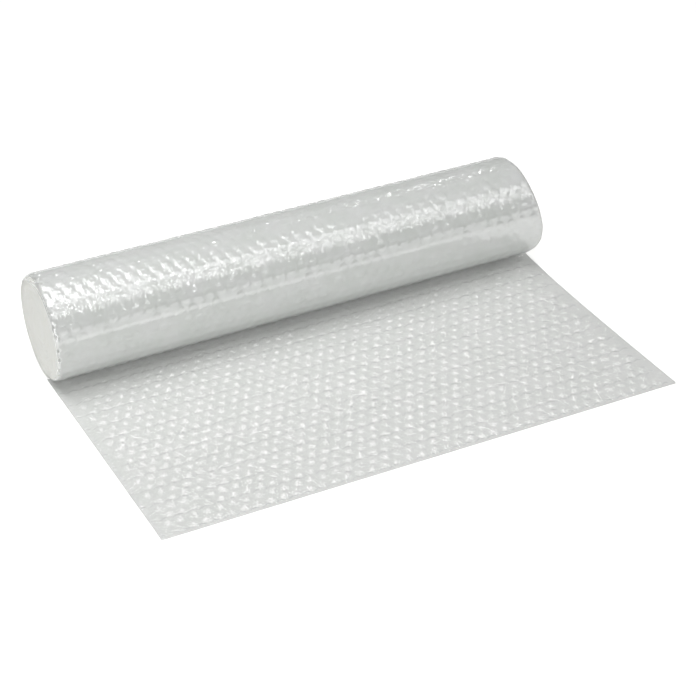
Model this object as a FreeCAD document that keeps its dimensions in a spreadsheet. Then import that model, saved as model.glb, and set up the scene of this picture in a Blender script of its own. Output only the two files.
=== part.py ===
import FreeCAD, Part
import math
import os

# Roll of cushioning film with its free end pulled out flat in front of it.
# The web is one piece: a flat film with air bubbles formed on its inner side, wound on itself without a core.
# It comes off the ground under the roll, goes up behind it, over the top and down in front, and so on inwards.
# The wound turns press on each other as one body, and the gap between them is open a short way in from each end.
# Frame: X along the roll's axis, Y from the free end towards the roll, Z up.
# Origin: on the ground under the roll, in the middle of its width.

V = FreeCAD.Vector

# Driving dimensions in millimetres
SIZES = {
    "web_width": 500.0,
    "roll_height": 104.2,
    "eye_radius": 8.0,
    "turn_pitch": 3.2,
    "turn_gap": 0.8,
    "gap_depth": 4.0,
    "flat_spot": 6.0,
    "tail_length": 298.0,
    "film": 0.5,
    "bubble_height": 2.4,
    "pitch_across": 11.9,
    "pitch_along": 11.7,
    "valley_rise": 0.12,
    "side_margin": 3.0,
    "front_margin": 5.0,
    "nip_margin": 8.0,
}


class Flat:
    """A straight level stretch of the web's outer side."""

    def __init__(self, start, length):
        self.start = start
        self.length = length

    def point(self, along, inset=0.0):
        """The point so far along the stretch, moved so far towards the roll's middle."""
        return self.start + V(0, along, inset)


class Bend:
    """A stretch of the web's outer side round one centre, between two angles seen from +X."""

    def __init__(self, centre, radius, first, last):
        self.centre = centre
        self.radius = radius
        self.first = first
        self.length = radius * (last - first)

    def point(self, along, inset=0.0):
        """The point so far along the stretch, moved so far towards the roll's middle."""
        angle = self.first + along / self.radius
        reach = self.radius - inset
        return self.centre + V(0, reach * math.cos(angle), reach * math.sin(angle))

    def edge(self):
        middle = self.point(self.length / 2)
        return Part.Arc(self.point(0), middle, self.point(self.length)).toShape()


def wound_turns(size):
    """The wound web's outer side, turn by turn, from the front of the flat spot inwards.

    Each turn is a flat, a quarter circle behind, a half circle over the top and a quarter circle in front.
    Every stretch runs on from the last one in line with it, and one turn brings the web in by one pitch.
    """
    half_flat = size.flat_spot / 2
    half_pitch = size.turn_pitch / 2
    upper = (size.roll_height + half_flat - half_pitch) / 2
    lower = upper - half_flat + half_pitch
    behind = V(0, half_flat, lower)
    over = V(0, half_pitch, lower)
    front = V(0, -half_flat, lower)
    turns = []
    for turn in range(int((upper - size.eye_radius) / size.turn_pitch)):
        gone = turn * size.turn_pitch
        turns.append([
            Flat(V(0, -half_flat, gone), size.flat_spot),
            Bend(behind, lower - gone, -math.pi / 2, 0.0),
            Bend(over, upper - gone, 0.0, math.pi),
            Bend(front, lower - gone - size.turn_pitch, math.pi, 1.5 * math.pi),
        ])
    return turns


def web_point(stretches, along, inset):
    """The point at a distance along the wound web, moved in from its outer side."""
    for stretch in stretches:
        if along <= stretch.length:
            return stretch.point(along, inset)
        along -= stretch.length
    return stretches[-1].point(stretches[-1].length, inset)


def wall_points(size, turns, inset):
    """One wall of the gap between turns, with a corner where the film creases at each row of bubbles."""
    stretches = [stretch for turn in turns for stretch in turn]
    length = sum(stretch.length for stretch in stretches)
    rows = int(length / size.pitch_along) + 1
    return [web_point(stretches, row * size.pitch_along, inset) for row in range(rows)]


def outline(size):
    """The section of roll and tail across the axis, with the wound turns filled in."""
    outer_turn = wound_turns(size)[0]
    front_edge = V(0, -size.tail_length, 0)
    flat_spot, *bends = outer_turn
    nip = flat_spot.point(0)
    over_nip = bends[-1].point(bends[-1].length)
    edges = [Part.LineSegment(front_edge, bends[0].point(0)).toShape()]
    edges += [bend.edge() for bend in bends]
    rise = V(0, 0, size.film)
    edges += Part.makePolygon([over_nip, nip + rise, front_edge + rise, front_edge]).Edges
    return Part.Face(Part.Wire(Part.__sortEdges__(edges)))


def turn_gap(size):
    """The gap between the wound turns, from where the tail leaves the roll to the eye in the middle."""
    turns = wound_turns(size)
    outer_wall = wall_points(size, turns, size.turn_pitch - size.turn_gap)
    inner_wall = wall_points(size, turns[:-1], size.turn_pitch)
    loop = outer_wall + inner_wall[::-1]
    return Part.Face(Part.makePolygon(loop + loop[:1]))


def cell_corners(size, centre):
    """The six corners of the cell that one bubble has to itself where rows are staggered by half a pitch."""
    side = size.pitch_across / 2
    tip = (side**2 + size.pitch_along**2) / (2 * size.pitch_along)
    shoulder = size.pitch_along - tip
    corners = [(0, tip), (-side, shoulder), (-side, -shoulder), (0, -tip), (side, -shoulder), (side, shoulder)]
    return [centre + V(x, y, 0) for x, y in corners]


def bubble_facets(size, centre):
    """One bubble as six facets that rise from its cell's edge to its crown."""
    corners = cell_corners(size, centre)
    crown = centre + V(0, 0, size.bubble_height - size.valley_rise)
    pairs = zip(corners, corners[1:] + corners[:1])
    return [Part.Face(Part.makePolygon([start, end, crown, start])) for start, end in pairs]


def bubble_field(size):
    """The tail's bubbles in staggered rows, as one solid that stands on the tail's film."""
    half_cell = size.pitch_across / 2
    half_row = size.pitch_along / 2
    stagger = half_cell / 2
    across = int((size.web_width - 2 * size.side_margin - 2 * stagger) / size.pitch_across)
    bare = size.front_margin + size.nip_margin + size.flat_spot / 2
    along = int((size.tail_length - bare) / size.pitch_along)
    first_y = size.front_margin + half_row - size.tail_length
    facets = []
    for row in range(along):
        shift = stagger if row % 2 else -stagger
        for column in range(across):
            x = half_cell * (2 * column + 1 - across) + shift
            y = first_y + row * size.pitch_along
            facets += bubble_facets(size, V(x, y, size.film + size.valley_rise))
    quilt = Part.makeShell(facets)
    quilt.sewShape()
    rim = Part.Wire(Part.__sortEdges__(quilt.getFreeEdges().Edges))
    drop = V(0, 0, -size.valley_rise)
    skirt = rim.extrude(drop)
    base = Part.Face(rim.translated(drop))
    shell = Part.makeShell(quilt.Faces + skirt.Faces + [base])
    shell.sewShape()
    return Part.makeSolid(shell)


def size_sheet(doc):
    """Puts the driving dimensions in a spreadsheet, each with its name beside it."""
    sheet = doc.addObject("Spreadsheet::Sheet", "sizes")
    for row, (name, value) in enumerate(SIZES.items(), start=1):
        sheet.set(f"A{row}", name.replace("_", " "))
        sheet.set(f"B{row}", str(value))
        sheet.setAlias(f"B{row}", name)
    doc.recompute()
    return sheet


def check(doc, wrap):
    """Stops if any object failed or if the finished roll isn't one sound solid."""
    for item in doc.Objects:
        if "Invalid" in item.State or "Error" in item.State:
            raise RuntimeError(f"{item.Label} didn't recompute: {item.State}")
    shape = wrap.Shape
    if shape.isNull() or not shape.isValid() or len(shape.Solids) != 1:
        raise RuntimeError(f"{wrap.Label} isn't one sound solid")


doc = FreeCAD.newDocument("cushioning_film_roll")
sheet = size_sheet(doc)

section = doc.addObject("Part::Feature", "roll_section")
section.Shape = outline(sheet)

body = doc.addObject("Part::Extrusion", "roll_body")
body.Base = section
body.DirMode = "Custom"
body.Dir = V(1, 0, 0)
body.Solid = True
body.Symmetric = True
body.setExpression("LengthFwd", "sizes.web_width")

gap_section = doc.addObject("Part::Feature", "gap_section")
gap_section.Shape = turn_gap(sheet)

# Each gap runs out from its depth inside the roll to the roll's end.
gaps = []
for name, side in (("left_gap", -1), ("right_gap", 1)):
    gap = doc.addObject("Part::Extrusion", name)
    gap.Base = gap_section
    gap.DirMode = "Custom"
    gap.Dir = V(side, 0, 0)
    gap.Solid = True
    gap.setExpression("LengthFwd", "sizes.web_width / 2")
    gap.setExpression("LengthRev", "sizes.gap_depth - sizes.web_width / 2")
    gaps.append(gap)

both_gaps = doc.addObject("Part::Compound", "both_gaps")
both_gaps.Links = gaps

wound = doc.addObject("Part::Cut", "wound_body")
wound.Base = body
wound.Tool = both_gaps
wound.Refine = False

bubbles = doc.addObject("Part::Feature", "tail_bubbles")
bubbles.Shape = bubble_field(sheet)

wrap = doc.addObject("Part::Fuse", "bubble_wrap")
wrap.Base = wound
wrap.Tool = bubbles
wrap.Refine = False
wrap.Label = "bubble_wrap"

doc.recompute()
check(doc, wrap)

os.makedirs("parts", exist_ok=True)
wrap.Shape.Solids[0].exportStep(f"parts/{wrap.Label}.step")
box = wrap.Shape.BoundBox
print(f"{wrap.Label}: {len(wrap.Shape.Faces)} faces, {wrap.Shape.Volume / 1000:.1f} cm3")
print(f"X {box.XMin:.2f} to {box.XMax:.2f}, Y {box.YMin:.2f} to {box.YMax:.2f}, Z {box.ZMin:.2f} to {box.ZMax:.2f}")
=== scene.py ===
"""A small roll of clear air-bubble cushioning film with its free end pulled out flat in front of it.

The web is a flat film welded to a film with formed bubbles. It is wound with the flat film outwards, so the
roll shows the bubbles through the film, and the free end lies with its bubbles up. Lengths are in metres.
"""

import logging
import math
from collections.abc import Callable
from dataclasses import dataclass
from enum import Enum

import bpy
import numpy as np
from mathutils import Matrix, Vector


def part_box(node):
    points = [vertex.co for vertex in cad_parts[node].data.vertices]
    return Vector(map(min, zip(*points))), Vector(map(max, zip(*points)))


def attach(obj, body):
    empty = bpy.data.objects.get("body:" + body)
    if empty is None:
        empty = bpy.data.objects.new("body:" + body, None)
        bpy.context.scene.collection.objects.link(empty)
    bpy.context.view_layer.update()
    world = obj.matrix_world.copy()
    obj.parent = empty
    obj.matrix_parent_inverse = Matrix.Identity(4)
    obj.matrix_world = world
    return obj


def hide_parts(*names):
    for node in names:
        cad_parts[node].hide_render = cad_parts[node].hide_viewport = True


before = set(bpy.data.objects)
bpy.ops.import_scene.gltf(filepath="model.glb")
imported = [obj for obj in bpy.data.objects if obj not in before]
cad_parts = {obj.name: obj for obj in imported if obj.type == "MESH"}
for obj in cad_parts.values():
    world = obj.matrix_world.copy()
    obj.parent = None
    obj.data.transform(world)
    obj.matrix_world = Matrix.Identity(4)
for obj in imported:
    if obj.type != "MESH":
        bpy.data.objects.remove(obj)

LOG = logging.getLogger("bubble_wrap_roll")

# The solid that the web stands for, and its body.
NODE = "bubble_wrap"
BODY = "root"

MM = 0.001

# Points nearer than this are welded where a copy meets the last one.
WELD = 0.02 * MM

# Chances are drawn for so many rows and columns of bubbles, and used again beyond them.
DRAWN = 60


def srgb(hex_colour: str) -> tuple[float, float, float, float]:
    """Turns an sRGB hex colour into the linear values that shaders take.

    Args:
        hex_colour: Six hex digits with a leading hash.

    Returns:
        Linear red, green and blue, and 1 for alpha.
    """
    parts = [int(hex_colour[i:i + 2], 16) / 255 for i in (1, 3, 5)]
    red, green, blue = (p / 12.92 if p <= 0.04045 else ((p + 0.055) / 1.055) ** 2.4 for p in parts)
    return red, green, blue, 1.0


def add_node(tree: bpy.types.NodeTree, kind: str, inputs: dict | None = None,
             **settings: object) -> bpy.types.Node:
    """Adds a shader node with its settings and links.

    Args:
        tree: The node tree that gets the node.
        kind: The node's type name.
        inputs: Values by input name or number. A socket given as a value is linked.
        **settings: The node's own properties.

    Returns:
        The new node.
    """
    node = tree.nodes.new(kind)
    for name, value in settings.items():
        setattr(node, name, value)
    for key, value in (inputs or {}).items():
        if isinstance(value, bpy.types.NodeSocket):
            tree.links.new(value, node.inputs[key])
        else:
            node.inputs[key].default_value = value
    return node


class Side(Enum):
    """The roll's two ends, by the sign of X."""

    LEFT = -1
    RIGHT = 1


@dataclass(frozen=True)
class WebPath:
    """Where the web runs across the roll's axis.

    A distance along the web is counted on its outer side, from the front of the flat spot under the roll and
    inwards through the turns. Distances on the free end are negative.
    """

    roll_height: float
    tail_length: float
    width: float
    turn_pitch: float = 3.2 * MM
    flat_spot: float = 6.0 * MM
    eye_radius: float = 8.0 * MM

    @property
    def upper(self) -> float:
        """The outer turn's radius over the top."""
        return (self.roll_height + self.flat_spot / 2 - self.turn_pitch / 2) / 2

    @property
    def lower(self) -> float:
        """The outer turn's radius behind, which is also how high the axis is."""
        return self.upper - self.flat_spot / 2 + self.turn_pitch / 2

    @property
    def turns(self) -> int:
        """How many turns are wound."""
        return int((self.upper - self.eye_radius) / self.turn_pitch)

    @property
    def front(self) -> float:
        """The distance at which the free end is cut."""
        return self.flat_spot / 2 - self.tail_length

    def turn_length(self, turn: int) -> float:
        """The length of one turn's outer side.

        Args:
            turn: Which turn, where the outermost is 0.

        Returns:
            The distance along the web.
        """
        gone = turn * self.turn_pitch
        quarters = math.pi / 2 * (2 * (self.lower - gone) - self.turn_pitch)
        return self.flat_spot + quarters + math.pi * (self.upper - gone)

    def place(self, along: np.ndarray, inset: np.ndarray) -> tuple[np.ndarray, np.ndarray]:
        """Puts web distances in the room.

        Args:
            along: Distances along the outer side.
            inset: How far each point lies in from the outer side, which is up on the free end.

        Returns:
            Y and Z.
        """
        half_flat = self.flat_spot / 2
        y = along - half_flat
        z = inset.copy()
        begin = 0.0
        for turn in range(self.turns):
            gone = turn * self.turn_pitch
            flat = (along >= begin) & (along < begin + self.flat_spot)
            y[flat] = along[flat] - begin - half_flat
            z[flat] = gone + inset[flat]
            begin += self.flat_spot
            bends = (
                (half_flat, self.lower - gone, -math.pi / 2, math.pi / 2),
                (self.turn_pitch / 2, self.upper - gone, 0.0, math.pi),
                (-half_flat, self.lower - gone - self.turn_pitch, math.pi, math.pi / 2),
            )
            for centre, radius, first, sweep in bends:
                here = (along >= begin) & (along <= begin + radius * sweep)
                angle = first + (along[here] - begin) / radius
                reach = radius - inset[here]
                y[here] = centre + reach * np.cos(angle)
                z[here] = self.lower + reach * np.sin(angle)
                begin += radius * sweep
        return y, z


@dataclass(frozen=True)
class Lattice:
    """The staggered grid of bubbles, in web distances. Each row stands half a pitch beside the last."""

    # The pitches across and along the web, the weld's radius, and where one row's middle is.
    across: float = 11.9 * MM
    along: float = 11.7 * MM
    radius: float = 5.0 * MM
    first_row: float = 8.35 * MM

    def row_shift(self, row: np.ndarray | int) -> np.ndarray | float:
        """How far a row's bubbles stand to one side."""
        return self.across / 4 * (1 - 2 * (row % 2))

    def rows(self, low: float, high: float) -> range:
        """Finds the rows whose cells reach into a stretch of the web.

        Args:
            low: Where the stretch begins.
            high: Where it ends.

        Returns:
            The rows' numbers.
        """
        first = math.floor((low - self.first_row) / self.along)
        last = math.ceil((high - self.first_row) / self.along)
        return range(first, last + 1)

    def find(self, places: np.ndarray) -> tuple[np.ndarray, np.ndarray]:
        """Finds the bubble that each point belongs to.

        Args:
            places: Points whose first two values are X and the distance along the web.

        Returns:
            Each point's bubble as (row, column), and its offset from the bubble's middle in bubble radii.
        """
        row = np.rint((places[:, 1] - self.first_row) / self.along).astype(int)
        shift = self.row_shift(row)
        column = np.rint((places[:, 0] - shift) / self.across).astype(int)
        middle = np.column_stack([column * self.across + shift, self.first_row + row * self.along])
        return np.column_stack([row, column]), (places[:, :2] - middle) / self.radius

    def cell_edge(self) -> list[tuple[float, float]]:
        """Twelve points round one bubble's own six-sided cell: its corners and the middles of its sides.

        Returns:
            X and Y of each, from the +X side anticlockwise.
        """
        side = self.across / 2
        tip = (side**2 + self.along**2) / (2 * self.along)
        shoulder = self.along - tip
        quarter = [(side, 0.0), (side, shoulder), (side / 2, (shoulder + tip) / 2), (0.0, tip)]
        half = quarter + [(-x, y) for x, y in quarter[2::-1]]
        return half + [(x, -y) for x, y in half[5:0:-1]]


def read_places(piece: bpy.types.Object) -> np.ndarray:
    """Reads the piece's vertices.

    Args:
        piece: The piece.

    Returns:
        Rows of X, Y and Z.
    """
    flat = np.empty(len(piece.data.vertices) * 3)
    piece.data.vertices.foreach_get("co", flat)
    return flat.reshape(-1, 3)


def write_places(piece: bpy.types.Object, places: np.ndarray) -> None:
    """Moves the piece's vertices to the given rows of X, Y and Z."""
    piece.data.vertices.foreach_set("co", places.ravel())
    piece.data.update()


def work_on(piece: bpy.types.Object) -> None:
    """Selects one piece alone and makes it the active one.

    Args:
        piece: The piece.
    """
    bpy.ops.object.select_all(action="DESELECT")
    piece.select_set(True)
    bpy.context.view_layer.objects.active = piece


def repeat(piece: bpy.types.Object, count: int, offset: tuple[float, float, float]) -> None:
    """Copies the piece's mesh in a row and welds each copy to the last.

    Args:
        piece: The piece, which keeps the whole row as its mesh.
        count: How many there are in the end.
        offset: The step from one to the next.
    """
    work_on(piece)
    bpy.ops.object.modifier_add(type="ARRAY")
    row = piece.modifiers[-1]
    row.count = count
    row.use_relative_offset = False
    row.use_constant_offset = True
    row.constant_offset_displace = offset
    row.use_merge_vertices = True
    row.merge_threshold = WELD
    bpy.ops.object.modifier_apply(modifier=row.name)


def keep_web_map(piece: bpy.types.Object, places: np.ndarray) -> None:
    """Stores where each point is on the web, in metres, as the piece's UV map.

    Args:
        piece: The piece.
        places: Its vertices while the web is still flat.
    """
    layer = piece.data.uv_layers.new(name="web")
    corners = np.empty(len(piece.data.loops), dtype=np.int64)
    piece.data.loops.foreach_get("vertex_index", corners)
    layer.data.foreach_set("uv", places[corners, :2].ravel())


@dataclass(frozen=True)
class Ring:
    """One ring of a bubble's section: its radius as a share of the weld's, and its height as a share."""

    reach: float
    rise: float


@dataclass
class BubbleSheet:
    """A flat stretch of film with a bubble in each cell of the lattice."""

    lattice: Lattice
    rings: tuple[Ring, ...]
    half_width: float
    low: float
    high: float

    def model(self, name: str) -> bpy.types.Object:
        """Models one cell, lays it out over the stretch and slits the sides straight.

        Args:
            name: The piece's name.

        Returns:
            The sheet, with X across, Y along the web, and each bubble 1 high.
        """
        sheet = self.model_cell()
        sheet.name = sheet.data.name = name
        rows = self.lattice.rows(self.low, self.high)
        self.add_staggered_row(sheet, rows.start)
        columns = 2 * math.ceil(self.half_width / self.lattice.across) + 1
        repeat(sheet, columns, (self.lattice.across, 0, 0))
        repeat(sheet, math.ceil(len(rows) / 2), (0, 2 * self.lattice.along, 0))
        work_on(sheet)
        bpy.ops.object.mode_set(mode="EDIT")
        bpy.ops.mesh.select_all(action="SELECT")
        first_x = -(columns // 2) * self.lattice.across
        first_y = self.lattice.first_row + rows.start * self.lattice.along
        bpy.ops.transform.translate(value=(first_x, first_y, 0))
        cuts = (
            ((self.half_width, 0, 0), (1, 0, 0)),
            ((-self.half_width, 0, 0), (-1, 0, 0)),
            ((0, self.low, 0), (0, -1, 0)),
            ((0, self.high, 0), (0, 1, 0)),
        )
        for point, normal in cuts:
            bpy.ops.mesh.select_all(action="SELECT")
            bpy.ops.mesh.bisect(plane_co=point, plane_no=normal, clear_outer=True)
        bpy.ops.object.mode_set(mode="OBJECT")
        bpy.ops.object.shade_smooth()
        return sheet

    def model_cell(self) -> bpy.types.Object:
        """Extrudes a disc's rim ring by ring down to the weld, and on to the cell's six-sided edge.

        Returns:
            One cell, with its bubble's middle at the origin.
        """
        edge = self.lattice.cell_edge()
        top = self.rings[0]
        bpy.ops.object.select_all(action="DESELECT")
        bpy.ops.mesh.primitive_circle_add(
            vertices=len(edge), radius=top.reach * self.lattice.radius, fill_type="TRIFAN",
            location=(0, 0, top.rise)
        )
        cell = bpy.context.object
        bpy.ops.object.transform_apply(location=True, rotation=True, scale=True)
        bpy.ops.object.mode_set(mode="EDIT")
        bpy.ops.mesh.select_all(action="SELECT")
        bpy.ops.mesh.region_to_loop()
        for before, ring in zip(self.rings, self.rings[1:]):
            grow = ring.reach / before.reach
            bpy.ops.mesh.extrude_edges_move(TRANSFORM_OT_translate={"value": (0, 0, ring.rise - before.rise)})
            bpy.ops.transform.resize(value=(grow, grow, 1))
        bpy.ops.mesh.extrude_edges_move()
        bpy.ops.object.mode_set(mode="OBJECT")
        places = read_places(cell)
        for vertex in cell.data.vertices:
            if vertex.select:
                turn = math.atan2(vertex.co.y, vertex.co.x)
                places[vertex.index, :2] = edge[round(turn / (2 * math.pi) * len(edge)) % len(edge)]
        crown = np.hypot(places[:, 0], places[:, 1]) < 0.1 * MM
        places[crown, 2] = 1.0
        write_places(cell, places)
        return cell

    def add_staggered_row(self, cell: bpy.types.Object, first_row: int) -> None:
        """Copies the cell to the next row and joins both.

        Args:
            cell: The cell, which keeps both as its mesh.
            first_row: The row that it belongs to.
        """
        shift = self.lattice.row_shift(first_row)
        work_on(cell)
        bpy.ops.object.duplicate()
        other = bpy.context.object
        for item, x, y in ((cell, shift, 0.0), (other, -shift, self.lattice.along)):
            item.location = (x, y, 0)
        cell.select_set(True)
        bpy.context.view_layer.objects.active = cell
        bpy.ops.object.transform_apply(location=True, rotation=False, scale=False)
        bpy.ops.object.join()


@dataclass(frozen=True)
class BlownFilm:
    """Blown polyethylene film, clear and glossy, milky where it lies in layers.

    To the eye it is a pale cool grey that lets its ground through, with sharp small lights on every crease.
    A milky body gives the paleness, and a clear coat over it gives the shine and carries the creases.
    """

    name: str
    pale: str
    deep: str
    alpha: float
    haze: float = 0.6
    gloss: float = 0.06

    # Real film creases a few hundredths of a millimetre deep, every millimetre or less. These are drawn
    # deeper and coarser, because the real ones are finer than the render can show.
    crease_height: float = 0.30 * MM
    crease_across: float = 2.2 * MM
    crease_along: float = 2.2 * MM

    # One film surface has an IOR of 1.51. In the web several lie one behind another and their reflections
    # add up, which a higher IOR of the one coat stands for. The body's is low, as the coat has the shine.
    surfaces_ior: float = 2.0
    body_ior: float = 1.3

    # Milky clouds as wide as two bubbles, where the film is blown thicker or thinner.
    cloud: float = 26.3 * MM

    # How far light wanders in a thick stack of films. None does in a single film.
    light_spread: float = 0.0

    def make(self) -> bpy.types.Material:
        """Builds the material.

        Returns:
            The new material.
        """
        if self.name in bpy.data.materials:
            return bpy.data.materials[self.name]
        material = bpy.data.materials.new(self.name)
        material.use_nodes = True
        tree = material.node_tree
        tree.nodes.clear()
        web = add_node(tree, "ShaderNodeUVMap", uv_map="web").outputs[0]
        cloud = add_node(
            tree, "ShaderNodeTexNoise", {"Vector": web, "Scale": 1 / self.cloud, "Detail": 2.0}
        ).outputs[0]
        level = add_node(
            tree, "ShaderNodeMapRange", {"Value": cloud, "From Min": 0.35, "From Max": 0.65}
        ).outputs[0]
        colour = add_node(
            tree, "ShaderNodeMix", {0: level, 6: srgb(self.deep), 7: srgb(self.pale)}, data_type="RGBA"
        ).outputs[2]
        scale = (1 / self.crease_across, 1 / self.crease_along, 1.0)
        stretched = add_node(tree, "ShaderNodeMapping", {"Vector": web, "Scale": scale}).outputs[0]
        crease = add_node(
            tree, "ShaderNodeTexNoise", {"Vector": stretched, "Scale": 1.0, "Detail": 1.5, "Distortion": 0.5}
        ).outputs[0]
        bump = add_node(
            tree, "ShaderNodeBump", {"Strength": 1.0, "Distance": self.crease_height, "Height": crease}
        ).outputs[0]
        shader = add_node(tree, "ShaderNodeBsdfPrincipled", {
            "Base Color": colour,
            "Alpha": self.alpha,
            "Roughness": self.haze,
            "IOR": self.body_ior,
            "Subsurface Weight": 1.0 if self.light_spread else 0.0,
            "Subsurface Radius": (1.0, 1.0, 1.0),
            "Subsurface Scale": self.light_spread,
            "Coat Weight": 1.0,
            "Coat Roughness": self.gloss,
            "Coat IOR": self.surfaces_ior,
            "Coat Normal": bump,
        })
        add_node(tree, "ShaderNodeOutputMaterial", {"Surface": shader.outputs[0]})
        return material


@dataclass(frozen=True)
class Finishes:
    """The film's looks in each part of the web."""

    # Clear film drawn into bubbles, soft and slack: a glitter of short strokes over a pale grey ground.
    bubbles: BlownFilm = BlownFilm(
        "formed_bubble_film", "#FAFBFA", "#F5F7F5", 0.35, gloss=0.05, crease_height=1.0 * MM,
        crease_across=2.0 * MM, crease_along=2.4 * MM, surfaces_ior=3.2
    )

    # Flat film that the bubbles are welded to: smooth, whiter and less clear, because air dulls the weld.
    backing: BlownFilm = BlownFilm("flat_backing_film", "#F8F9F7", "#F3F5F2", 0.80, crease_height=0.3 * MM)

    # The same film wound tight: long bright streaks along the roll, broken up by the cushions under it.
    # Its creases run round the roll, because winding pulls it that way.
    outer: BlownFilm = BlownFilm(
        "wound_outer_film", "#F8FAF9", "#F2F5F3", 0.65, gloss=0.04, crease_height=0.32 * MM,
        crease_across=2.8 * MM, crease_along=8.0 * MM, surfaces_ior=3.1
    )

    # Many films and bubbles in a stack: cloudy white with a soft shade, like snow, and no sharp light.
    packed: BlownFilm = BlownFilm(
        "stacked_film", "#F6F8F4", "#F1F4EE", 1.0, haze=0.7, gloss=0.4, surfaces_ior=1.3,
        light_spread=60 * MM
    )

    # The stack slit by a blade: dull and a little warmer, so that the ends look like paper.
    cut: BlownFilm = BlownFilm(
        "cut_film_edges", "#F6F7F3", "#F2F3ED", 1.0, haze=0.7, gloss=0.5, surfaces_ior=1.3
    )


@dataclass
class Piece:
    """One part of the web: it models its mesh, dresses it in its films and hands it over."""

    path: WebPath
    films: tuple[BlownFilm, ...]

    def model(self) -> bpy.types.Object:
        """Models the mesh, which each kind of piece does in its own way."""
        raise NotImplementedError

    def build(self) -> bpy.types.Object:
        """Models and dresses the piece, hangs it on its body and hides the imported part that it stands for.

        Returns:
            The finished piece.
        """
        piece = self.model()
        for film in self.films:
            piece.data.materials.append(film.make())
        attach(piece, BODY)
        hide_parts(NODE)
        triangles = sum(len(face.vertices) - 2 for face in piece.data.polygons)
        LOG.info("%s: %d triangles", piece.name, triangles)
        return piece


@dataclass
class Tail(Piece):
    """The free end of the web, flat on the ground with its bubbles up."""

    lattice: Lattice
    seed: int = 7

    # A peaked dome: the film stands highest at its crown and runs out thinly round the weld.
    rings: tuple[Ring, ...] = (
        Ring(0.34, 0.89), Ring(0.60, 0.69), Ring(0.82, 0.42), Ring(0.98, 0.17), Ring(1.10, 0.0)
    )

    # The fullest bubble's height, and the flattest one's as a share of it.
    bubble_height: float = 2.6 * MM
    flattest: float = 0.72
    film: float = 0.4 * MM
    thinnest: float = 0.1 * MM

    # Bubbles within these margins were slit or sealed with the edge, and have lost nearly all their height.
    side_margin: float = 11.0 * MM
    front_margin: float = 4.0 * MM
    emptied: float = 0.04

    # How much a bubble leans, how much its flanks pucker, and how far single points are off.
    slack: float = 0.26
    pucker: float = 0.07
    crumple: float = 0.16 * MM

    # Towards its right edge the free end is wider: a little in front, and more beside the roll, where it
    # follows the outer turn's slipped edge over this share of its length.
    widening: float = 2.0 * MM
    flare: float = 9.0 * MM
    flare_reach: float = 0.32

    # How far the front's left corner is drawn back, and the right one as a share of that.
    drawn_in: float = 2.8 * MM
    drawn_right: float = 0.4

    def model(self) -> bpy.types.Object:
        """Makes the bubble film and the flat film under it as one closed skin.

        Returns:
            The mesh, still without its films.
        """
        rng = np.random.default_rng(self.seed)
        half = self.path.width / 2
        sheet = BubbleSheet(self.lattice, self.rings, half, self.path.front, 0.0).model("tail")
        places = read_places(sheet)
        keep_web_map(sheet, places)
        bubble, off = self.lattice.find(places)
        cell = (bubble[:, 0] % DRAWN, bubble[:, 1] % DRAWN)
        chance = rng.uniform(0.0, 1.0, (DRAWN, DRAWN, 4))[cell]
        lean = rng.normal(0.0, self.slack, (DRAWN, DRAWN, 4))[cell]

        # Each bubble has four folds in its flank, turned by chance, and more of them further out.
        angle = np.arctan2(off[:, 1], off[:, 0])
        fold = np.sin(4 * angle + 6 * chance[:, 2]) * np.hypot(off[:, 0], off[:, 1])
        middle = places[:, :2] - off * self.lattice.radius
        held = np.abs(middle[:, 0]) > half - self.side_margin
        held |= middle[:, 1] < self.path.front + self.front_margin
        height = self.bubble_height * (self.flattest + (1 - self.flattest) * chance[:, 0])
        height *= 1 + (off * lean[:, :2]).sum(axis=1)
        height *= 1 + self.pucker * chance[:, 1] * fold
        height *= np.where(held, self.emptied, 1.0)

        # The crowns are crumpled in full, and the welds hardly at all.
        dent = rng.normal(0.0, self.crumple, len(places)) * np.clip(places[:, 2] * 3, 0.15, 1)
        inset = np.maximum(self.film + places[:, 2] * height + dent, self.thinnest)
        y, z = self.path.place(places[:, 1], inset)
        share = places[:, 0] / self.path.width + 0.5
        out = -y / self.path.tail_length
        x = places[:, 0] + share * (self.widening * out + self.flare * np.exp(-out / self.flare_reach))
        y += self.drawn_in * out * (1 - (1 - self.drawn_right) * share)
        write_places(sheet, np.column_stack([x, y, z]))
        self.close_underside(sheet)
        return sheet

    def close_underside(self, sheet: bpy.types.Object) -> None:
        """Takes the cut edges down to the ground and closes the sheet with the flat film.

        Args:
            sheet: The bubble film, still open below.
        """
        work_on(sheet)
        bpy.ops.object.mode_set(mode="EDIT")
        bpy.ops.mesh.select_all(action="DESELECT")
        bpy.ops.mesh.select_mode(type="EDGE")
        bpy.ops.mesh.select_non_manifold(extend=False)
        bpy.ops.mesh.extrude_edges_move()
        bpy.ops.transform.resize(value=(1, 1, 0), center_override=(0, 0, 0))
        bpy.ops.mesh.edge_face_add()
        bpy.ops.mesh.faces_shade_flat()
        bpy.ops.mesh.select_mode(type="VERT")
        bpy.ops.object.mode_set(mode="OBJECT")
        for face in sheet.data.polygons:
            if face.normal.z < -0.99:
                face.material_index = 1


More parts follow.
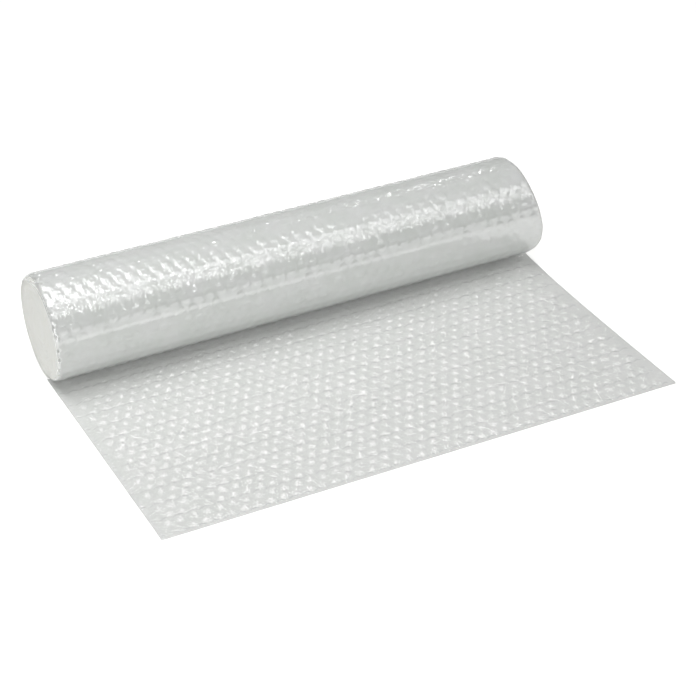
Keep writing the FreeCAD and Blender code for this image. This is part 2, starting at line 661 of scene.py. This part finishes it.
@dataclass
class RollForm:
    """How the wound roll departs from a true cylinder."""

    path: WebPath

    # How much thicker than in the middle it is at its left end, and how much lower all of it is, as shares.
    taper: float = 0.014
    slump: float = 0.007

    # The ends' rounding in front, behind, and over the top at the left and the right end. The depth to which
    # it sinks is a share of its radius.
    rim_front: float = 3.0 * MM
    rim_back: float = 6.0 * MM
    rim_top: tuple[float, float] = (10.0 * MM, 7.0 * MM)
    rim_depth: float = 0.7

    # Degrees round the roll, from behind it over the top: where the rounding is widest and how far that goes.
    top_at: float = 78.0
    top_spread: float = 30.0

    # How far the right edge has slipped out, where, and how far round that goes, in degrees.
    flare: float = 7.5 * MM
    flare_at: float = 195.0
    flare_spread: float = 50.0

    def rim_radius(self, x: np.ndarray, y: np.ndarray, z: np.ndarray) -> np.ndarray:
        """How widely the ends are rounded off: least in front, most over the top, and more at the left end.

        Args:
            x: Places across the web.
            y: Places from front to back.
            z: Heights.

        Returns:
            The rounding's radius at each place.
        """
        angle = np.arctan2(z - self.path.lower, y)
        behind = (1 + np.cos(angle)) / 2
        over = np.exp(-((angle - math.radians(self.top_at)) / math.radians(self.top_spread)) ** 2)
        low = self.rim_front + (self.rim_back - self.rim_front) * behind
        return low + (np.where(x > 0, self.rim_top[1], self.rim_top[0]) - low) * over

    def lean_out(self, x: np.ndarray, y: np.ndarray, z: np.ndarray) -> np.ndarray:
        """How far the outer film's right edge has slipped out, where the web runs on into the free end.

        Args:
            x: Places across the web.
            y: Places from front to back.
            z: Heights.

        Returns:
            Shifts of X.
        """
        angle = np.arctan2(z - self.path.lower, y) % (2 * math.pi)
        here = np.exp(-((angle - math.radians(self.flare_at)) / math.radians(self.flare_spread)) ** 2)

        # It begins half way from the roll's middle to its right end.
        return self.flare * here * np.clip(4 * x / self.path.width - 1, 0, 1)

    def rim_drop(self, x: np.ndarray, radius: np.ndarray) -> np.ndarray:
        """How far the outer film sinks in beside each end.

        Args:
            x: Places across the web.
            radius: The rounding's radius at each place.

        Returns:
            Distances towards the axis.
        """
        inside = np.clip((np.abs(x) - self.path.width / 2) / radius + 1, 0, 1)
        return self.rim_depth * radius * (1 - np.sqrt(1 - inside**2))

    def rim_recess(self, gone: np.ndarray, radius: np.ndarray) -> np.ndarray:
        """How far the turns' ends stand back where the end is rounded off.

        Args:
            gone: Distances in from the roll's outside.
            radius: The rounding's radius at each place.

        Returns:
            Distances from the end's face.
        """
        return radius * (1 - np.sqrt(1 - np.clip(1 - gone / (self.rim_depth * radius), 0, 1) ** 2))

    def settle(self, places: np.ndarray) -> np.ndarray:
        """Sets the roll down a little, and makes it thicker at its left end than at its right."""
        share = 1 - self.slump - self.taper * places[:, 0] / (self.path.width / 2)
        return np.column_stack([places[:, 0], places[:, 1] * share, places[:, 2] * share])


@dataclass
class OuterTurn(Piece):
    """The outermost turn, flat film outwards, which the bubbles behind it press into low cushions."""

    lattice: Lattice
    form: RollForm
    seed: int = 11

    # A cushion with a broad top, as a bubble presses it into the flat film from behind.
    rings: tuple[Ring, ...] = (
        Ring(0.35, 0.94), Ring(0.62, 0.76), Ring(0.86, 0.36), Ring(1.06, 0.0)
    )

    # The proudest cushion's height, the lowest one's as a share of it, and how much a cushion leans.
    cushion: float = 0.52 * MM
    lowest: float = 0.35
    slant: float = 0.2
    crumple: float = 0.03 * MM

    # Beside the ends the film lies against empty bubbles, and has hardly any cushions.
    side_margin: float = 3.0 * MM
    emptied: float = 0.1

    def model(self) -> bpy.types.Object:
        """Makes the outer film of the roll.

        Returns:
            The mesh, still without its films.
        """
        rng = np.random.default_rng(self.seed)
        half = self.path.width / 2
        length = self.path.turn_length(0)
        sheet = BubbleSheet(self.lattice, self.rings, half, 0.0, length).model("outer_turn")
        work_on(sheet)
        bpy.ops.object.mode_set(mode="EDIT")
        bpy.ops.mesh.select_all(action="SELECT")
        bpy.ops.mesh.flip_normals()
        bpy.ops.object.mode_set(mode="OBJECT")
        places = read_places(sheet)
        keep_web_map(sheet, places)
        bubble, off = self.lattice.find(places)
        cell = (bubble[:, 0] % DRAWN, bubble[:, 1] % DRAWN)
        chance = rng.uniform(0.0, 1.0, (DRAWN, DRAWN, 2))[cell]
        lean = rng.normal(0.0, self.slant, (DRAWN, DRAWN, 2))[cell]
        press = (self.lowest + (1 - self.lowest) * chance[:, 0]) * (1 + (off * lean).sum(axis=1))
        held = np.abs(places[:, 0] - off[:, 0] * self.lattice.radius) > half - self.side_margin
        inset = self.cushion * (1 - places[:, 2] * press * np.where(held, self.emptied, 1.0))
        inset += np.abs(rng.normal(0.0, self.crumple, len(places)))

        # Where a point is settles how far the rim drops there, and then the dropped point is placed.
        along = np.clip(places[:, 1], 0.0, length)
        y, z = self.path.place(along, inset)
        inset += self.form.rim_drop(places[:, 0], self.form.rim_radius(places[:, 0], y, z))
        y, z = self.path.place(along, inset)
        x = places[:, 0] + self.form.lean_out(places[:, 0], y, z)
        write_places(sheet, self.form.settle(np.column_stack([x, y, z])))
        return sheet


@dataclass
class WoundCore(Piece):
    """The turns inside the outermost one, seen through it as a pale cloudy body."""

    form: RollForm

    # How far it keeps inside the outer film and inside the web's edges.
    inset: float = 0.75 * MM
    end_gap: float = 0.5 * MM

    # How wide the rings of edges beside each end are in all, and how far its sides' edges stand apart.
    rounding: float = 13.0 * MM
    rings: int = 5
    step: float = 3.0 * MM

    # Faces that meet at less than so many degrees are shaded as one.
    smooth_below: float = 50.0

    def model(self) -> bpy.types.Object:
        """Makes the closed body inside the outer turn.

        Returns:
            The mesh, still without its films.
        """
        bpy.ops.object.select_all(action="DESELECT")
        length = self.path.turn_length(0)
        bpy.ops.mesh.primitive_cylinder_add(
            vertices=int(length / self.step), radius=self.path.lower,
            depth=self.path.width - 2 * self.end_gap, end_fill_type="TRIFAN",
            location=(0, 0, self.path.lower), rotation=(0, math.pi / 2, 0)
        )
        core = bpy.context.object
        core.name = core.data.name = "wound_core"
        bpy.ops.object.transform_apply(location=True, rotation=True, scale=True)
        self.add_rim_rings(core)
        places = read_places(core)
        off = places[:, 1:] - (0, self.path.lower)
        rim = np.hypot(off[:, 0], off[:, 1]) > self.path.lower / 2
        along = (np.arctan2(off[:, 1], off[:, 0]) / (2 * math.pi) + 0.25) % 1.0 * length
        keep_web_map(core, np.column_stack([places[:, 0], along]))
        radius = self.form.rim_radius(places[:, 0], off[:, 0], places[:, 2])
        inset = self.inset + self.form.rim_drop(places[:, 0], radius)
        y, z = self.path.place(along, inset)
        places[rim, 1] = y[rim]
        places[rim, 2] = z[rim]
        places[:, 0] += self.form.lean_out(places[:, 0], places[:, 1], places[:, 2]) * rim
        write_places(core, self.form.settle(places))
        for face in core.data.polygons:
            if abs(face.normal.x) > 0.99:
                face.material_index = 1
        work_on(core)
        bpy.ops.object.shade_smooth_by_angle(angle=math.radians(self.smooth_below))
        return core

    def add_rim_rings(self, core: bpy.types.Object) -> None:
        """Bevels both rims, which gives the rings of edges that the rounded ends need.

        Args:
            core: The plain cylinder.
        """
        axis = Vector((0, self.path.lower))
        middles = {v.index for v in core.data.vertices if (v.co.yz - axis).length < self.path.eye_radius / 2}
        work_on(core)
        bpy.ops.object.mode_set(mode="EDIT")
        bpy.ops.mesh.select_all(action="DESELECT")
        bpy.ops.mesh.select_mode(type="EDGE")
        bpy.ops.object.mode_set(mode="OBJECT")
        spots = [vertex.co for vertex in core.data.vertices]
        for edge in core.data.edges:
            a, b = edge.vertices
            edge.select = spots[a].x * spots[b].x > 0 and a not in middles and b not in middles
        bpy.ops.object.mode_set(mode="EDIT")
        bpy.ops.mesh.bevel(offset=self.rounding, segments=self.rings, affect="EDGES")
        bpy.ops.mesh.select_mode(type="VERT")
        bpy.ops.object.mode_set(mode="OBJECT")


@dataclass
class TurnEnds(Piece):
    """The cut edges of the turns inside the outermost one, at one end of the roll."""

    form: RollForm
    side: Side
    seed: int = 23

    # The strip's section: how deep it goes in from the end, the gap to the next turn, and its front's fold.
    depth: float = 5.0 * MM
    gap: float = 0.04 * MM
    fold: float = 0.35 * MM
    step: float = 2.6 * MM

    # The strip's front keeps so far inside the web's edge. It sways by chance between so many points, and a
    # share of that also moves it in and out of line with its turn.
    end_gap: float = 0.4 * MM
    wave: float = 0.12 * MM
    knots: int = 160
    sideways: float = 0.25

    def model(self) -> bpy.types.Object:
        """Makes one long strip of folded-over film edge, wound inwards from the second turn.

        Returns:
            The mesh, still without its films.
        """
        rng = np.random.default_rng(self.seed + self.side.value)
        first = self.path.turn_length(0)
        total = sum(self.path.turn_length(turn) for turn in range(self.path.turns))
        bpy.ops.object.select_all(action="DESELECT")
        bpy.ops.mesh.primitive_cube_add(size=1, location=(0, 0, 0))
        strip = bpy.context.object
        strip.name = strip.data.name = f"turn_ends_{self.side.name.lower()}"
        bpy.ops.transform.resize(value=(self.depth, self.step, self.path.turn_pitch - self.gap))
        bpy.ops.object.transform_apply(location=True, rotation=True, scale=True)
        self.round_front(strip)
        self.open_ends(strip)
        count = int((total - first) / self.step)
        repeat(strip, count, (0, self.step, 0))
        places = read_places(strip)
        places[:, 1] += first + self.step / 2
        keep_web_map(strip, places)
        along = np.clip(places[:, 1], 0.0, total)
        inset = places[:, 2] + self.path.turn_pitch / 2
        sway = np.interp(along, np.linspace(0, total, self.knots), rng.normal(0, self.wave, self.knots))
        gone = self.distance_in(along) + inset
        y, z = self.path.place(along, inset)
        end = np.full_like(y, self.side.value)
        recess = self.form.rim_recess(gone, self.form.rim_radius(end, y, z))
        face = self.path.width / 2 - self.end_gap - np.abs(sway) - recess
        x = self.side.value * (face - (self.depth / 2 - places[:, 0]))
        y, z = self.path.place(along, inset + self.sideways * sway)
        write_places(strip, self.form.settle(np.column_stack([x, y, z])))
        work_on(strip)
        bpy.ops.object.mode_set(mode="EDIT")
        bpy.ops.mesh.select_all(action="SELECT")
        bpy.ops.mesh.normals_make_consistent(inside=False)
        bpy.ops.object.mode_set(mode="OBJECT")
        bpy.ops.object.shade_smooth()
        return strip

    def distance_in(self, along: np.ndarray) -> np.ndarray:
        """How far in from the roll's outside the web is at distances along it."""
        ends = np.cumsum([0.0] + [self.path.turn_length(turn) for turn in range(self.path.turns)])
        return np.interp(along, ends, self.path.turn_pitch * np.arange(len(ends)))

    def round_front(self, strip: bpy.types.Object) -> None:
        """Bevels the two long edges of the strip's outer face.

        Args:
            strip: One length of the strip.
        """
        self.select_edges(strip, lambda a, b: min(a.x, b.x) > 0 and abs(a.y - b.y) > self.step / 2)
        bpy.ops.mesh.bevel(offset=self.fold, segments=2, affect="EDGES")
        bpy.ops.object.mode_set(mode="OBJECT")

    def open_ends(self, strip: bpy.types.Object) -> None:
        """Takes away the two end faces where one length of strip meets the next.

        Args:
            strip: One length of the strip.
        """
        work_on(strip)
        for face in strip.data.polygons:
            face.select = abs(face.normal.y) > 0.9
        for edge in strip.data.edges:
            edge.select = False
        for vertex in strip.data.vertices:
            vertex.select = False
        bpy.ops.object.mode_set(mode="EDIT")
        bpy.ops.mesh.select_mode(type="FACE")
        bpy.ops.mesh.delete(type="ONLY_FACE")
        bpy.ops.mesh.select_mode(type="VERT")
        bpy.ops.object.mode_set(mode="OBJECT")

    def select_edges(self, strip: bpy.types.Object, wanted: Callable[[Vector, Vector], bool]) -> None:
        """Selects some of the edges, and stays in edit mode.

        Args:
            strip: One length of the strip.
            wanted: Tells from an edge's two ends whether it is selected.
        """
        work_on(strip)
        bpy.ops.object.mode_set(mode="EDIT")
        bpy.ops.mesh.select_mode(type="EDGE")
        bpy.ops.mesh.select_all(action="DESELECT")
        bpy.ops.object.mode_set(mode="OBJECT")
        spots = [vertex.co for vertex in strip.data.vertices]
        for edge in strip.data.edges:
            edge.select = wanted(*(spots[v] for v in edge.vertices))
        bpy.ops.object.mode_set(mode="EDIT")


@dataclass(frozen=True)
class View:
    """The photograph's viewpoint: angles in degrees, places in metres, and lens and sensor in millimetres."""

    azimuth: float = 24.39
    elevation: float = 30.69
    roll: float = -2.78
    distance: float = 2.0306
    target: tuple[float, float, float] = (0.01959, -0.09139, 0.0)
    lens: float = 111.2
    sensor: float = 36.0

    def add_camera(self) -> bpy.types.Object:
        """Adds the camera and makes it the scene's own.

        Returns:
            The camera object.
        """
        az, el, turn = (math.radians(a) for a in (self.azimuth, self.elevation, self.roll))
        ahead = Vector((math.sin(az) * math.cos(el), math.cos(az) * math.cos(el), -math.sin(el)))
        level = Vector((math.cos(az), -math.sin(az), 0))
        above = level.cross(ahead)
        right = math.cos(turn) * level + math.sin(turn) * above
        up = math.cos(turn) * above - math.sin(turn) * level
        data = bpy.data.cameras.new("view")
        data.lens = self.lens
        data.sensor_width = self.sensor
        camera = bpy.data.objects.new("view", data)
        turned = Matrix((right, up, -ahead)).transposed().to_4x4()
        camera.matrix_world = Matrix.Translation(Vector(self.target) - self.distance * ahead) @ turned
        bpy.context.collection.objects.link(camera)
        bpy.context.scene.camera = camera
        return camera


@dataclass(frozen=True)
class Softbox:
    """One studio lamp: where it hangs, what it points at, how big it is and its radiance."""

    name: str
    place: tuple[float, float, float]
    aim: tuple[float, float, float]
    size: tuple[float, float]
    radiance: float

    def add(self) -> bpy.types.Object:
        """Hangs the lamp.

        Returns:
            The lamp object.
        """
        width, length = self.size
        data = bpy.data.lights.new(self.name, "AREA")
        data.shape = "RECTANGLE"
        data.size = width
        data.size_y = length

        # A flat lamp's power is its radiance times pi times its area.
        data.energy = self.radiance * math.pi * width * length
        lamp = bpy.data.objects.new(self.name, data)
        lamp.location = self.place
        lamp.rotation_euler = (Vector(self.aim) - Vector(self.place)).to_track_quat("-Z", "Y").to_euler()
        bpy.context.collection.objects.link(lamp)
        return lamp


@dataclass
class Studio:
    """A plain white floor in a white room with soft lamps."""

    floor_half: float = 30.0
    floor_drop: float = 0.05 * MM

    # What the floor adds for the eye and in reflections, so that it shows white, without lighting the roll.
    floor_glow: float = 0.6

    # The room's light behind the roll, and in front of it by the sine of the height above the floor. The
    # narrow bright band in front draws the light line low on the roll.
    back_level: float = 0.26
    front_levels: tuple[tuple[float, float], ...] = (
        (0.02, 0.90), (0.10, 0.90), (0.13, 0.02), (0.31, 0.02), (0.34, 0.60), (0.36, 0.60), (0.39, 0.02),
        (0.66, 0.02), (0.72, 0.25), (0.99, 0.25)
    )

    # Long narrow strips in front and above draw the streaks along the roll and the free end's glitter. The
    # wide ones fill the left side, and the small ones behind give the sparks on the bubbles' far flanks.
    lamps: tuple[Softbox, ...] = (
        Softbox("key_strip_1", (-0.20, -0.72, 1.30), (-0.1, 0.0, 0.05), (0.07, 1.5), 4.6),
        Softbox("key_strip_2", (0.18, -0.72, 1.30), (-0.05, 0.0, 0.05), (0.07, 1.5), 4.9),
        Softbox("key_strip_3", (0.56, -0.72, 1.30), (0.0, 0.0, 0.05), (0.07, 1.5), 4.6),
        Softbox("key_strip_4", (0.94, -0.72, 1.30), (0.05, 0.0, 0.05), (0.06, 1.5), 4.2),
        Softbox("key_strip_5", (1.32, -0.72, 1.30), (0.1, 0.0, 0.05), (0.06, 1.5), 2.8),
        Softbox("left_overhead", (-0.35, 0.0, 1.10), (-0.1, -0.1, 0.0), (0.8, 0.8), 2.7),
        Softbox("left_back", (-0.60, 0.55, 0.95), (-0.1, 0.0, 0.05), (0.6, 0.6), 0.6),
        Softbox("front_fill", (-1.05, -1.30, 0.36), (0.0, -0.05, 0.05), (1.5, 0.6), 2.2),
        Softbox("back_glint_1", (-0.5, 1.1, 1.5), (0.0, -0.1, 0.0), (0.05, 0.05), 22.0),
        Softbox("back_glint_2", (-0.1, 1.2, 1.1), (0.0, -0.1, 0.0), (0.05, 0.05), 22.0),
        Softbox("back_glint_3", (0.35, 1.0, 1.7), (0.0, -0.1, 0.0), (0.05, 0.05), 22.0),
        Softbox("back_glint_4", (0.8, 1.0, 1.2), (0.0, -0.1, 0.0), (0.05, 0.05), 22.0),
        Softbox("back_glint_5", (1.2, 0.7, 1.5), (0.0, -0.1, 0.0), (0.05, 0.05), 22.0),
    )

    def build(self) -> None:
        """Lays the floor, hangs the lamps and sets the room's light."""
        bpy.ops.object.select_all(action="DESELECT")
        bpy.ops.mesh.primitive_plane_add(size=2 * self.floor_half, location=(0, 0, -self.floor_drop))
        floor = bpy.context.object
        floor.name = "floor"
        floor.data.materials.append(self.floor_card())
        for lamp in self.lamps:
            lamp.add()
        self.light_room()

    def floor_card(self) -> bpy.types.Material:
        """Matt white card. What looks at it sees it white, and it keeps its shadows.

        Returns:
            The new material.
        """
        material = bpy.data.materials.new("matt_white_card")
        material.use_nodes = True
        tree = material.node_tree
        tree.nodes.clear()
        card = add_node(tree, "ShaderNodeBsdfDiffuse", {"Color": srgb("#F2F2F0")}).outputs[0]
        glow = add_node(tree, "ShaderNodeEmission", {"Strength": self.floor_glow}).outputs[0]
        none = add_node(tree, "ShaderNodeEmission", {"Strength": 0.0}).outputs[0]
        rays = add_node(tree, "ShaderNodeLightPath").outputs
        seen = rays["Is Camera Ray"]
        for kind in ("Is Glossy Ray", "Is Transmission Ray"):
            seen = add_node(tree, "ShaderNodeMath", {0: seen, 1: rays[kind]}, operation="MAXIMUM").outputs[0]
        lift = add_node(tree, "ShaderNodeMixShader", {0: seen, 1: none, 2: glow}).outputs[0]
        both = add_node(tree, "ShaderNodeAddShader", {0: card, 1: lift}).outputs[0]
        add_node(tree, "ShaderNodeOutputMaterial", {"Surface": both})
        return material

    def light_room(self) -> None:
        """Makes the room white to the eye, and a soft light with a dim front to what stands in it."""
        world = bpy.data.worlds.new("room")
        bpy.context.scene.world = world
        world.use_nodes = True
        tree = world.node_tree
        tree.nodes.clear()
        way = add_node(tree, "ShaderNodeTexCoord").outputs["Generated"]
        split = add_node(tree, "ShaderNodeSeparateXYZ", {0: way}).outputs
        behind = add_node(
            tree, "ShaderNodeMapRange", {"Value": split["Y"], "From Min": -0.35, "From Max": 0.1}
        ).outputs[0]
        ramp = add_node(tree, "ShaderNodeValToRGB", {0: split["Z"]})
        for place, grey in self.front_levels:
            stop = ramp.color_ramp.elements.new(place)
            stop.color = (grey, grey, grey, 1)
        level = add_node(
            tree, "ShaderNodeMix", {0: behind, 2: ramp.outputs[0], 3: self.back_level}, data_type="FLOAT"
        ).outputs[0]
        light = add_node(tree, "ShaderNodeBackground", {"Strength": level}).outputs[0]
        white = add_node(tree, "ShaderNodeBackground", {"Strength": 1.0}).outputs[0]
        seen = add_node(tree, "ShaderNodeLightPath").outputs["Is Camera Ray"]
        for node in tree.nodes:
            if node.type == "BACKGROUND":
                node.inputs["Color"].default_value = srgb("#FFFFFF")
        room = add_node(tree, "ShaderNodeMixShader", {0: seen, 1: light, 2: white}).outputs[0]
        add_node(tree, "ShaderNodeOutputWorld", {"Surface": room})


def main() -> None:
    """Builds the roll and the studio."""
    logging.basicConfig(level=logging.INFO, format="%(message)s")
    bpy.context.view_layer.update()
    low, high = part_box(NODE)
    View().add_camera()
    path = WebPath(roll_height=high[2], tail_length=-low[1], width=high[0] - low[0])
    lattice = Lattice()
    form = RollForm(path)
    films = Finishes()
    Studio().build()
    Tail(path, (films.bubbles, films.backing), lattice).build()
    OuterTurn(path, (films.outer,), lattice, form).build()
    WoundCore(path, (films.packed, films.cut), form).build()
    for side in Side:
        TurnEnds(path, (films.cut,), form, side).build()
    bpy.context.scene.view_settings.view_transform = "Standard"


if __name__ == "__main__":
    main()
